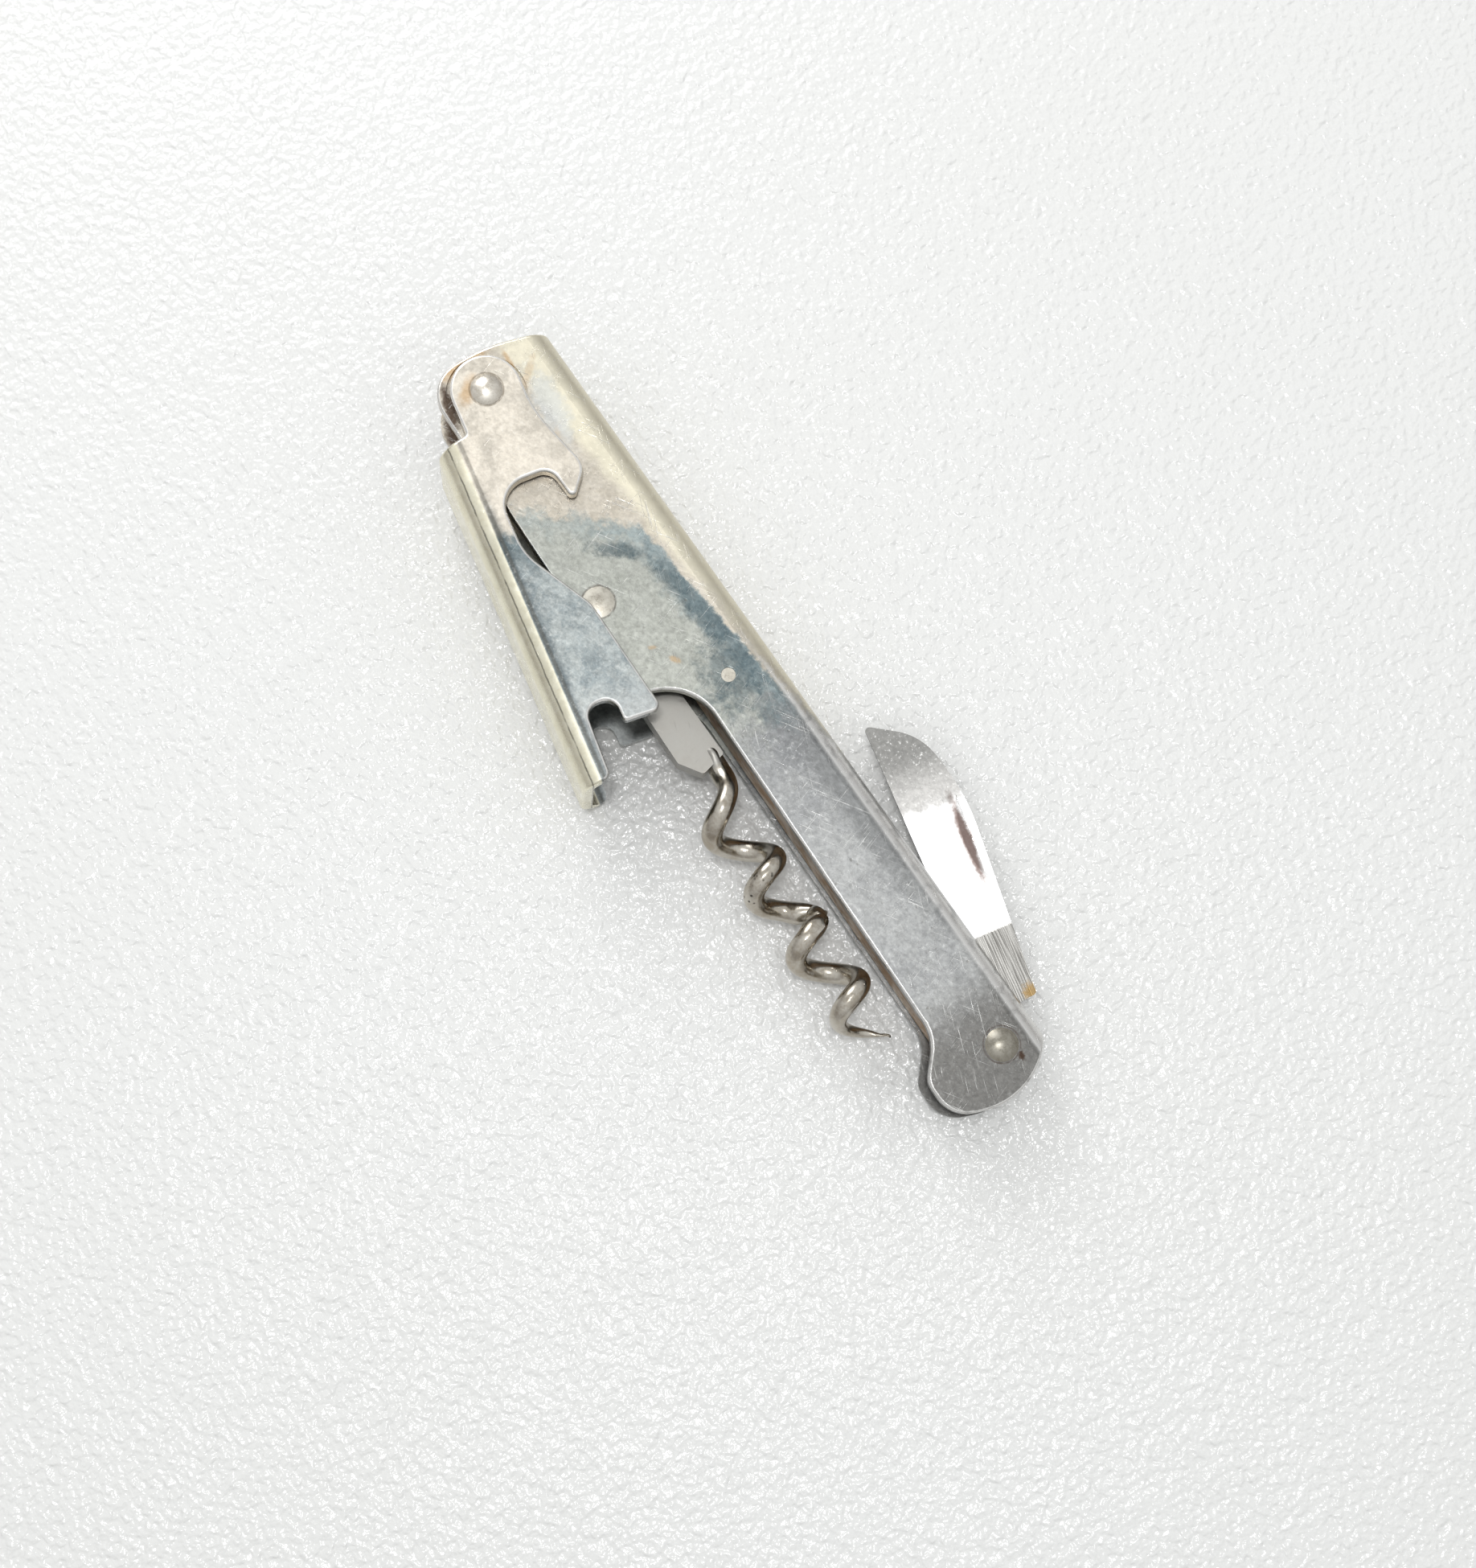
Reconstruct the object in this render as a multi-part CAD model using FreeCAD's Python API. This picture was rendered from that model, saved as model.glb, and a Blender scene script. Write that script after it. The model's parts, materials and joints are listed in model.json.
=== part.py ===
import FreeCAD, Part
import math
import os

V = FreeCAD.Vector

# Lever corkscrew, folded, lying on its side. Sizes in mm.
# While it is drawn, X runs from the lever's end (head) to the knife's end (tail), Y points to the
# closed spine of the handle, Z is up, and the worm's pivot is at X = 0, Y = 0.

# Handle: one folded sheet, closed at the spine and open on the other side.
HANDLE_LENGTH = 114.3     # head end to tail end
HEAD_REACH = 35.0         # worm pivot to head end
HEAD_WIDTH = 11.4         # over both plates at the head end
TAIL_WIDTH = 8.0          # over both plates at the tail end
HANDLE_SHEET = 1.2
HANDLE_BEND = 2.8         # outside radius of the two spine bends
HANDLE_EDGE = 0.35        # rounding of the outer sheet edges
SPINE_AT_HEAD = 14.0      # worm pivot up to the spine, at the head end
SPINE_AT_TAIL = 16.4     # the same, at the tail end
HEAD_EDGE_Y = -3.4        # open edge of the plates, head half
TAIL_EDGE_Y = 4.2         # open edge of the plates, tail half
SCOOP_X = 12.6            # where the neck scoop starts
HEAD_CORNER = 4.4
HEAD_END_ROUND = 20.0
FLARE_DROP = 3.9          # how far the tail bulb hangs below the tail edge
FLARE_START_ROUND = 6.0
FLARE_ROUND = 2.6
BULB_ROUND = 4.4
TAIL_END_ROUND = 10.0
SLOT_PLAY = 0.6           # spine slot, each side of the blade

# Lever: one folded sheet whose cheeks straddle the handle. Its own X runs from its pivot to the foot.
LEVER_SHEET = 1.5
LEVER_BEND = 3.0
LEVER_EDGE = 0.4
LEVER_FROM_HEAD = 5.6     # head end to lever pivot
LEVER_PIVOT_Y = 3.0
LEVER_REST = -10.8        # degrees
LEVER_DEPTH = 8.7         # pivot to the outside of the lever's wall
BOSS_R = 4.5
WALL_START = 5.8          # pivot to the cut end of the wall
CHEEK_END = 50.9          # pivot to the end of the cheeks
FOOT_END = 56.0           # pivot to the curled lip
CHEEK_PLAY = 0.3          # cheek to handle plate
RECESS_R = 5.1            # pressed seat of the boss in the handle plates
RECESS_DEPTH = 0.4

# Worm: flat tang and wire helix.
TANG_THICK = 3.0
TANG_ROUND = 2.35
TANG_LENGTH = 24.6
TANG_FLARE = 0.75         # how much the tang widens towards the spine, at its end
WIRE_D = 2.7
HELIX_OD = 7.9
HELIX_PITCH = 9.35
HELIX_TURNS = 3.4         # past the lead-in
HELIX_AXIS_Y = -1.4
HELIX_LEAN = 0.28         # the turns lean along the worm, per mm across
LEAD_START = 22.0         # where the wire leaves the tang's middle plane
LEAD_LENGTH = 11.2
LEAD_RISE = 0.4           # the wire starts this much nearer the spine than the turns
TIP_TURNS = 0.62          # drawn out to a point
TIP_R = 0.18
SECTIONS_PER_TURN = 8

# Knife.
KNIFE_FROM_TAIL = 5.9     # tail end to knife pivot
KNIFE_PIVOT_Y = 10.7
KNIFE_REST = -11.0        # degrees
BLADE_LENGTH = 43.8
BLADE_THICK = 1.4
BLADE_DEEP = 8.6          # edge to back at the deepest
EDGE_Y = 0.95             # pivot's level up to the edge
SHOULDER_DEEP = 6.55
KNIFE_TANG_R = 4.3
EDGE_THICK = 0.24
GRIND_START = 13.5        # pivot to the plunge line
GRIND_TOP = 8.6
NICK_START = 19.4
NICK_LENGTH = 12.0
NICK_TOP = 6.9
NICK_DROP = 1.2
NICK_DEPTH = 0.4

# Back spring, between the plates at the open edge.
SPRING_WIDE = 5.0         # across the plates
SPRING_THICK = 2.4
SPRING_IN = 0.4           # set back from the plate edge
SPRING_PIN_X = 16.4
SPRING_PIN_Y = 8.4
SPRING_PIN_R = 0.9
SPRING_LUG_R = 2.1
NOSE_LENGTH = 9.0

# Rivets and washers.
RIVET_R = 1.5
RIVET_HEAD_R = 2.0
KNIFE_HEAD_R = 2.25
DOME_HIGH = 0.75
FLUSH_DOME = 0.2
SINK_DEPTH = 0.7
WASHER_R = 2.4
SPACER_R = 2.9
PIVOT_PLAY = 0.05         # radial, moving part on its rivet
SEAT_PLAY = 0.02          # radial, rivet in a fixed part
FACE_PLAY = 0.06          # between flat faces that slide

HEAD_X = -HEAD_REACH
TAIL_X = HANDLE_LENGTH - HEAD_REACH
LEVER_PIVOT = V(HEAD_X + LEVER_FROM_HEAD, LEVER_PIVOT_Y, 0)
WORM_PIVOT = V(0, 0, 0)
KNIFE_PIVOT = V(TAIL_X - KNIFE_FROM_TAIL, KNIFE_PIVOT_Y, 0)
LEVER_WIDTH = HEAD_WIDTH + 2 * CHEEK_PLAY + 2 * LEVER_SHEET
MID_Z = LEVER_WIDTH / 2
FAR = 60.0                # longer than any cut needs


def outer_half(x):
    """Half the handle's outside width at x."""
    share = (x - HEAD_X) / HANDLE_LENGTH
    return (HEAD_WIDTH + (TAIL_WIDTH - HEAD_WIDTH) * share) / 2


def spine_y(x):
    """Outside of the handle's spine at x."""
    share = (x - HEAD_X) / HANDLE_LENGTH
    return SPINE_AT_HEAD + (SPINE_AT_TAIL - SPINE_AT_HEAD) * share


def rounded_face(corners):
    """Flat face whose outline turns round each (x, y, radius) corner."""
    count = len(corners)
    stations = []
    for i in range(count):
        here = V(corners[i][0], corners[i][1], 0)
        before = V(corners[i - 1][0], corners[i - 1][1], 0)
        after = V(corners[(i + 1) % count][0], corners[(i + 1) % count][1], 0)
        radius = corners[i][2]
        u = (before - here).normalize()
        v = (after - here).normalize()
        half = u.getAngle(v) / 2
        reach = radius / math.tan(half)
        inward = (u + v).normalize()
        middle = here + inward * (radius / math.sin(half) - radius)
        stations.append((here + u * reach, middle, here + v * reach, radius))
    edges = []
    for i in range(count):
        start, middle, end, radius = stations[i]
        if radius > 0:
            edges.append(Part.Arc(start, middle, end).toShape())
        following = stations[(i + 1) % count][0]
        if end.distanceToPoint(following) > 1e-6:
            edges.append(Part.LineSegment(end, following).toShape())
    return Part.Face(Part.Wire(edges))


def slab(corners, low, high):
    """Rounded outline raised from z = low to z = high."""
    face = rounded_face(corners)
    face.translate(V(0, 0, low))
    return face.extrude(V(0, 0, high - low))


def cylinder(centre, radius, low, high):
    return Part.makeCylinder(radius, high - low, V(centre.x, centre.y, low))


def dome(centre, radius, height, base, direction):
    """Rivet dome on a plane at z = base, bulging up (1) or down (-1)."""
    ball_r = (radius * radius + height * height) / (2 * height)
    ball = Part.makeSphere(ball_r, V(centre.x, centre.y, base + direction * (height - ball_r)))
    low = min(base, base + direction * (height + 1))
    high = max(base, base + direction * (height + 1))
    return ball.common(cylinder(centre, ball_r + 1, low, high))


def placed(shape, pivot, angle):
    """A shape drawn round its own pivot, put at its place in the folded tool."""
    moved = shape.copy()
    turn = FreeCAD.Placement(pivot, FreeCAD.Rotation(V(0, 0, 1), angle))
    moved.Placement = turn.multiply(moved.Placement)
    return moved


def tapered_block(inset):
    """The handle's filled outer form, drawn in by inset, with its two spine bends rounded."""
    low_x = HEAD_X - 8
    high_x = TAIL_X + 8
    half_low = outer_half(low_x) - inset
    half_high = outer_half(high_x) - inset
    plan = Part.makePolygon([
        V(low_x, -FAR, -half_low), V(high_x, -FAR, -half_high),
        V(high_x, -FAR, half_high), V(low_x, -FAR, half_low), V(low_x, -FAR, -half_low)])
    wedge = Part.Face(plan).extrude(V(0, 2 * FAR, 0))
    side = Part.makePolygon([
        V(low_x, -FAR / 2, -FAR), V(high_x, -FAR / 2, -FAR),
        V(high_x, spine_y(high_x) - inset, -FAR), V(low_x, spine_y(low_x) - inset, -FAR),
        V(low_x, -FAR / 2, -FAR)])
    block = wedge.common(Part.Face(side).extrude(V(0, 0, 2 * FAR)))
    bends = []
    for edge in block.Edges:
        middle = edge.CenterOfMass
        long_edge = edge.Length > HANDLE_LENGTH
        if long_edge and middle.y > 0:
            bends.append(edge)
    block = block.makeFillet(HANDLE_BEND - inset, bends)
    block.translate(V(0, 0, MID_Z))
    return block


def handle_outline():
    tail_low = TAIL_EDGE_Y - FLARE_DROP
    return [
        (HEAD_X + 4.4, 20.0, 0),
        (HEAD_X, 5.5, HEAD_END_ROUND),
        (HEAD_X + 0.3, HEAD_EDGE_Y + 0.6, HEAD_CORNER),
        (SCOOP_X, HEAD_EDGE_Y, 0.4),
        (SCOOP_X, TAIL_EDGE_Y, TAIL_EDGE_Y - HEAD_EDGE_Y - 0.45),
        (TAIL_X - 11.5, TAIL_EDGE_Y, FLARE_START_ROUND),
        (TAIL_X - 7.2, tail_low, FLARE_ROUND),
        (TAIL_X - 1.95, tail_low, BULB_ROUND),
        (TAIL_X + 1.9, 9.67, TAIL_END_ROUND),
        (TAIL_X - 7.1, 20.0, 0),
    ]


def plane_gap(point, outside):
    """Distance of a point from the nearer outer plate face."""
    return abs(abs(point.z - MID_Z) - outside)


def handle_shell():
    outline = slab(handle_outline(), -5, LEVER_WIDTH + 5)
    outer = tapered_block(0).common(outline)
    rims = []
    for edge in outer.Edges:
        ends_on_plate = True
        for share in (0.1, 0.5, 0.9):
            at = edge.FirstParameter + share * (edge.LastParameter - edge.FirstParameter)
            point = edge.valueAt(at)
            if plane_gap(point, outer_half(point.x)) > 0.01:
                ends_on_plate = False
        bend_line = edge.Length > HANDLE_LENGTH * 0.8
        if ends_on_plate and not bend_line:
            rims.append(edge)
    outer = outer.makeFillet(HANDLE_EDGE, rims)
    inner = tapered_block(HANDLE_SHEET)
    # The boss seats are pressed in, so the sheet keeps its thickness behind them.
    pads = []
    seats = []
    seat_half = outer_half(LEVER_PIVOT.x) - RECESS_DEPTH
    for sign in (-1, 1):
        face_z = MID_Z + sign * seat_half
        back_z = MID_Z + sign * (seat_half - HANDLE_SHEET)
        open_z = MID_Z + sign * (seat_half + 3)
        pad_out = MID_Z + sign * (seat_half - 0.1)
        pads.append(cylinder(LEVER_PIVOT, RECESS_R, min(back_z, pad_out), max(back_z, pad_out)))
        seats.append(cylinder(LEVER_PIVOT, RECESS_R, min(face_z, open_z), max(face_z, open_z)))
    shell = outer.cut(inner)
    for pad in pads:
        shell = shell.fuse(pad.common(outer))
    for seat in seats:
        shell = shell.cut(seat)
    # Slot in the spine for the folded blade, open at the tail.
    slot_wide = BLADE_THICK + 2 * SLOT_PLAY
    slot_x = KNIFE_PIVOT.x - BLADE_LENGTH - 1.6
    slot_y = SPINE_AT_HEAD - HANDLE_SHEET - 1
    slot = Part.makeBox(FAR * 2, FAR, slot_wide, V(slot_x, slot_y, MID_Z - slot_wide / 2))
    slot_end = Part.makeCylinder(slot_wide / 2, FAR, V(slot_x, slot_y, MID_Z), V(0, 1, 0))
    shell = shell.cut(slot).cut(slot_end)
    for pivot in (LEVER_PIVOT, KNIFE_PIVOT):
        shell = shell.cut(cylinder(pivot, RIVET_R + SEAT_PLAY, -5, LEVER_WIDTH + 5))
    pin_at = V(SPRING_PIN_X, SPRING_PIN_Y, 0)
    shell = shell.cut(cylinder(pin_at, SPRING_PIN_R + SEAT_PLAY, -5, LEVER_WIDTH + 5))
    shell = shell.cut(worm_rivet_body(SEAT_PLAY))
    return shell.removeSplitter()


def lever_outline():
    return [
        (-BOSS_R, BOSS_R, BOSS_R - 0.02),
        (-BOSS_R, -BOSS_R, BOSS_R - 0.02),
        (4.4, -BOSS_R, 0.5),
        (WALL_START, -LEVER_DEPTH - 3, 0),
        (CHEEK_END, -LEVER_DEPTH - 3, 0),
        (CHEEK_END, -4.9, 1.2),
        (41.6, -4.5, 1.75),
        (41.6, -0.75, 1.75),
        (CHEEK_END - 5.9, -0.7, 0.6),
        (CHEEK_END - 5.6, 4.35, 1.0),
        (29.8, 1.4, 5.0),
        (20.9, -3.75, 8.0),
        (12.1, -3.75, 3.6),
        (12.1, 3.35, 2.0),
        (17.1, 4.5, 0.65),
        (13.3, 7.55, 2.6),
        (4.6, BOSS_R, 15.0),
    ]


def lever():
    width = LEVER_WIDTH
    outer = Part.makeBox(CHEEK_END + 20, 30, width, V(-10, -LEVER_DEPTH, 0))
    bends = [e for e in outer.Edges if e.Length > CHEEK_END and e.CenterOfMass.y < 0]
    outer = outer.makeFillet(LEVER_BEND, bends)
    outer = outer.common(slab(lever_outline(), -1, width + 1))
    rims = []
    for edge in outer.Edges:
        middle = edge.valueAt((edge.FirstParameter + edge.LastParameter) / 2)
        on_cheek = min(abs(middle.z), abs(middle.z - width)) < 0.001
        bend_line = abs(middle.y + LEVER_DEPTH - LEVER_BEND) < 0.01
        if on_cheek and not bend_line:
            rims.append(edge)
    outer = outer.makeFillet(LEVER_EDGE, rims)
    inner = Part.makeBox(FAR * 2, 30, width - 2 * LEVER_SHEET,
                         V(-FAR, -LEVER_DEPTH + LEVER_SHEET, LEVER_SHEET))
    hollow_bends = [e for e in inner.Edges if e.Length > FAR and e.CenterOfMass.y < 0]
    inner = inner.makeFillet(LEVER_BEND - LEVER_SHEET, hollow_bends)
    body = outer.cut(inner)
    foot = slab([
        (CHEEK_END - 1.0, -LEVER_DEPTH, 0),
        (FOOT_END, -LEVER_DEPTH, 2.2),
        (FOOT_END, -LEVER_DEPTH + 2.6, 0.6),
        (FOOT_END - LEVER_SHEET, -LEVER_DEPTH + 2.6, 0.5),
        (FOOT_END - LEVER_SHEET, -LEVER_DEPTH + LEVER_SHEET, 0.8),
        (CHEEK_END - 1.0, -LEVER_DEPTH + LEVER_SHEET, 0)], 0, width)
    tip_form = Part.makeBox(20, 20, width, V(FOOT_END - 20, -LEVER_DEPTH - 5, 0))
    tip_corners = []
    for edge in tip_form.Edges:
        middle = edge.CenterOfMass
        if middle.x > FOOT_END - 0.01 and abs(middle.z - MID_Z) > MID_Z - 0.01:
            tip_corners.append(edge)
    tip_form = tip_form.makeFillet(2.0, tip_corners)
    bend_form = Part.makeBox(CHEEK_END + 20, 30, width, V(0, -LEVER_DEPTH, 0))
    bend_form = bend_form.makeFillet(
        LEVER_BEND, [e for e in bend_form.Edges if e.Length > CHEEK_END and e.CenterOfMass.y < 0])
    foot = foot.common(tip_form).common(bend_form)
    body = body.fuse(foot)
    hole = cylinder(V(0, 0, 0), RIVET_R + PIVOT_PLAY, -1, width + 1)
    sink = Part.makeCone(RIVET_HEAD_R + PIVOT_PLAY, RIVET_R + PIVOT_PLAY, SINK_DEPTH, V(0, 0, 0))
    body = body.cut(hole).cut(sink)
    return placed(body.removeSplitter(), LEVER_PIVOT, LEVER_REST)


def lever_rivet():
    base = LEVER_WIDTH + FACE_PLAY
    low = 0.08
    shank = cylinder(LEVER_PIVOT, RIVET_R, low, base + 0.3)
    head = dome(LEVER_PIVOT, RIVET_HEAD_R, DOME_HIGH, base, 1)
    spread = (RIVET_HEAD_R - RIVET_R) * (SINK_DEPTH - low) / SINK_DEPTH
    flush = Part.makeCone(RIVET_R + spread, RIVET_R, SINK_DEPTH - low,
                          V(LEVER_PIVOT.x, LEVER_PIVOT.y, low))
    return shank.fuse(head).fuse(flush).removeSplitter()


def lever_spacer():
    """Tube that keeps the plates apart when the lever's rivet is closed."""
    half = outer_half(LEVER_PIVOT.x) - RECESS_DEPTH - HANDLE_SHEET
    tube = cylinder(LEVER_PIVOT, SPACER_R, MID_Z - half, MID_Z + half)
    return tube.cut(cylinder(LEVER_PIVOT, RIVET_R + SEAT_PLAY, -5, LEVER_WIDTH + 5))


def worm_rivet_body(play):
    """Countersunk rivet, low enough for the lever's cheeks to pass over it."""
    half = outer_half(WORM_PIVOT.x)
    rivet = cylinder(WORM_PIVOT, RIVET_R + play, MID_Z - half, MID_Z + half)
    for sign in (-1, 1):
        top = MID_Z + sign * half
        cone = Part.makeCone(RIVET_R + play, RIVET_HEAD_R + play, SINK_DEPTH,
                             V(WORM_PIVOT.x, WORM_PIVOT.y, top - sign * SINK_DEPTH), V(0, 0, sign))
        cap = cylinder(WORM_PIVOT, RIVET_HEAD_R + play, min(top, top + sign), max(top, top + sign))
        rivet = rivet.fuse(cone)
        if play > 0:
            rivet = rivet.fuse(cap)
        else:
            rivet = rivet.fuse(dome(WORM_PIVOT, RIVET_HEAD_R, FLUSH_DOME, top, sign))
    return rivet.removeSplitter()


def washer(pivot, hold, sign):
    """Washer from a moving tang out to the plate, its outer face laid to the plate's slope."""
    inner_z = hold / 2 + FACE_PLAY
    low = MID_Z + min(sign * inner_z, sign * 12)
    high = MID_Z + max(sign * inner_z, sign * 12)
    ring = cylinder(pivot, WASHER_R, low, high).common(tapered_block(HANDLE_SHEET))
    return ring.cut(cylinder(pivot, RIVET_R + SEAT_PLAY, -5, LEVER_WIDTH + 5))


def knife_rivet():
    half = outer_half(KNIFE_PIVOT.x)
    rivet = cylinder(KNIFE_PIVOT, RIVET_R, MID_Z - half - 0.2, MID_Z + half + 0.2)
    block = tapered_block(0)
    for sign in (-1, 1):
        base = MID_Z + sign * (half - 0.1)
        head = dome(KNIFE_PIVOT, KNIFE_HEAD_R, DOME_HIGH + 0.1, base, sign).cut(block)
        rivet = rivet.fuse(head)
    return rivet.removeSplitter()


def knife_outline():
    """Blade drawn with its pivot at 0, 0, its tip towards -X and its back towards +Y."""
    reach = math.hypot(7.5, EDGE_Y)
    slope = math.asin(KNIFE_TANG_R / reach) + math.atan2(EDGE_Y, 7.5)
    heel = 7.5 - (KNIFE_TANG_R + EDGE_Y) / math.tan(slope)
    tang = KNIFE_TANG_R - 0.02
    return [
        (KNIFE_TANG_R, KNIFE_TANG_R, tang),
        (-3.95, KNIFE_TANG_R + 0.1, 0.4),
        (-4.2, EDGE_Y + SHOULDER_DEEP, 0.5),
        (-BLADE_LENGTH + 11.9, EDGE_Y + BLADE_DEEP, 30.0),
        (-BLADE_LENGTH + 3.6, EDGE_Y + 6.1, 8.0),
        (-BLADE_LENGTH - 0.2, EDGE_Y, 0.5),
        (-7.5, EDGE_Y, 2.0),
        (-heel, -KNIFE_TANG_R, tang),
        (KNIFE_TANG_R, -KNIFE_TANG_R, tang),
    ]


def knife_blade():
    half = BLADE_THICK / 2
    blade = slab(knife_outline(), -half, half)
    # Flat grind on both sides, from the plunge line to the tip.
    for sign in (-1, 1):
        profile = Part.makePolygon([
            V(-GRIND_START, EDGE_Y + GRIND_TOP, sign * half),
            V(-GRIND_START, EDGE_Y - 2.0, sign * half * 3),
            V(-GRIND_START, EDGE_Y - 2.0,
              sign * (EDGE_THICK / 2 - 2.0 * (half - EDGE_THICK / 2) / GRIND_TOP)),
            V(-GRIND_START, EDGE_Y + GRIND_TOP, sign * half)])
        blade = blade.cut(Part.Face(profile).extrude(V(-FAR, 0, 0)))
    left = V(-NICK_START - NICK_LENGTH, EDGE_Y + NICK_TOP + 0.45, 0)
    right = V(-NICK_START, EDGE_Y + NICK_TOP, 0)
    low = V(-NICK_START - NICK_LENGTH / 2, EDGE_Y + NICK_TOP + 0.2 - NICK_DROP, 0)
    nick = Part.Face(Part.Wire([
        Part.LineSegment(left, right).toShape(), Part.Arc(right, low, left).toShape()]))
    nick.translate(V(0, 0, half - NICK_DEPTH))
    blade = blade.cut(nick.extrude(V(0, 0, 1)))
    blade = blade.cut(cylinder(V(0, 0, 0), RIVET_R + PIVOT_PLAY, -2, 2))
    blade.translate(V(0, 0, MID_Z))
    return placed(blade, KNIFE_PIVOT, KNIFE_REST)


def wire_station(angle, radius_on_axis):
    """Middle of the wire at a turn angle: a slow lead-in, then a steady helix."""
    steady = math.pi
    rise = 0.0
    if angle < steady:
        power = 2 * LEAD_LENGTH / HELIX_PITCH
        x = LEAD_START + LEAD_LENGTH * (angle / steady) ** (1 / power)
        rise = LEAD_RISE * (1 - angle / steady) ** 2
    else:
        x = LEAD_START + LEAD_LENGTH + HELIX_PITCH * (angle - steady) / (2 * math.pi)
    across = radius_on_axis * math.cos(angle)
    up = radius_on_axis * math.sin(angle)
    return V(x + HELIX_LEAN * (across - radius_on_axis), HELIX_AXIS_Y + across + rise, MID_Z + up)


def worm():
    coil_r = (HELIX_OD - WIRE_D) / 2
    last = math.pi + HELIX_TURNS * 2 * math.pi
    taper_from = last - TIP_TURNS * 2 * math.pi
    lead_power = 2 * LEAD_LENGTH / HELIX_PITCH
    angles = []
    lead_steps = SECTIONS_PER_TURN // 2
    for i in range(lead_steps):
        angles.append(math.pi * (i / lead_steps) ** lead_power)
    steps = int(HELIX_TURNS * SECTIONS_PER_TURN)
    for i in range(steps + 1):
        angles.append(math.pi + (last - math.pi) * i / steps)
    rings = []
    for angle in angles:
        centre = wire_station(angle, coil_r)
        ahead = wire_station(angle + 0.01, coil_r)
        behind = wire_station(max(angle - 0.01, 0), coil_r)
        along = (ahead - behind).normalize()
        if angle == 0:
            along = V(1, 0, 0)
        radial = V(0, math.cos(angle), math.sin(angle))
        radial = (radial - along * radial.dot(along)).normalize()
        side = along.cross(radial)
        wire_r = WIRE_D / 2
        if angle > taper_from:
            share = (angle - taper_from) / (last - taper_from)
            wire_r = wire_r + (TIP_R - wire_r) * share ** 1.3
        frame = FreeCAD.Matrix(radial.x, side.x, along.x, centre.x,
                               radial.y, side.y, along.y, centre.y,
                               radial.z, side.z, along.z, centre.z,
                               0, 0, 0, 1)
        ring = Part.Wire([Part.makeCircle(wire_r)])
        ring.Placement = FreeCAD.Placement(frame)
        rings.append(ring)
    wire = Part.makeLoft(rings, True, False)
    tang = slab([
        (-TANG_ROUND, TANG_ROUND - 0.1, TANG_ROUND - 0.12),
        (-TANG_ROUND, -TANG_ROUND, TANG_ROUND - 0.12),
        (TANG_LENGTH - 2.9, -TANG_ROUND - 0.2, 0.5),
        (TANG_LENGTH, -0.6, 0.6),
        (TANG_LENGTH - 0.8, TANG_ROUND - 0.1 + TANG_FLARE, 0.4)],
        MID_Z - TANG_THICK / 2, MID_Z + TANG_THICK / 2)
    tang = tang.cut(cylinder(WORM_PIVOT, RIVET_R + PIVOT_PLAY, -5, LEVER_WIDTH + 5))
    return tang.fuse(wire).removeSplitter()


def back_spring():
    low_y = TAIL_EDGE_Y + SPRING_IN
    top_y = low_y + SPRING_THICK
    reach = KNIFE_TANG_R + CHEEK_PLAY
    tail_end = KNIFE_PIVOT.x - math.sqrt(reach * reach - (KNIFE_PIVOT.y - top_y) ** 2) - 0.4
    nose_y = TANG_ROUND + CHEEK_PLAY
    low = MID_Z - SPRING_WIDE / 2
    high = MID_Z + SPRING_WIDE / 2
    bar = slab([
        (-3.0, top_y, 0.8),
        (-3.0, nose_y, 0.6),
        (NOSE_LENGTH - 3.0, nose_y, 0.6),
        (NOSE_LENGTH - 0.5, low_y, 0.8),
        (tail_end, low_y, 0.6),
        (tail_end, top_y, 0.4)], low, high)
    pin_at = V(SPRING_PIN_X, SPRING_PIN_Y, 0)
    lug = slab([
        (SPRING_PIN_X - 4.6, top_y - 0.5, 0),
        (SPRING_PIN_X + 4.6, top_y - 0.5, 0),
        (SPRING_PIN_X + SPRING_LUG_R, SPRING_PIN_Y + SPRING_LUG_R, SPRING_LUG_R - 0.2),
        (SPRING_PIN_X - SPRING_LUG_R, SPRING_PIN_Y + SPRING_LUG_R, SPRING_LUG_R - 0.2)], low, high)
    spring = bar.fuse(lug).removeSplitter()
    return spring.cut(cylinder(pin_at, SPRING_PIN_R + SEAT_PLAY, -5, LEVER_WIDTH + 5))


def spring_pin():
    pin_at = V(SPRING_PIN_X, SPRING_PIN_Y, 0)
    half = outer_half(SPRING_PIN_X) - 0.02
    return cylinder(pin_at, SPRING_PIN_R, MID_Z - half, MID_Z + half)


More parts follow.
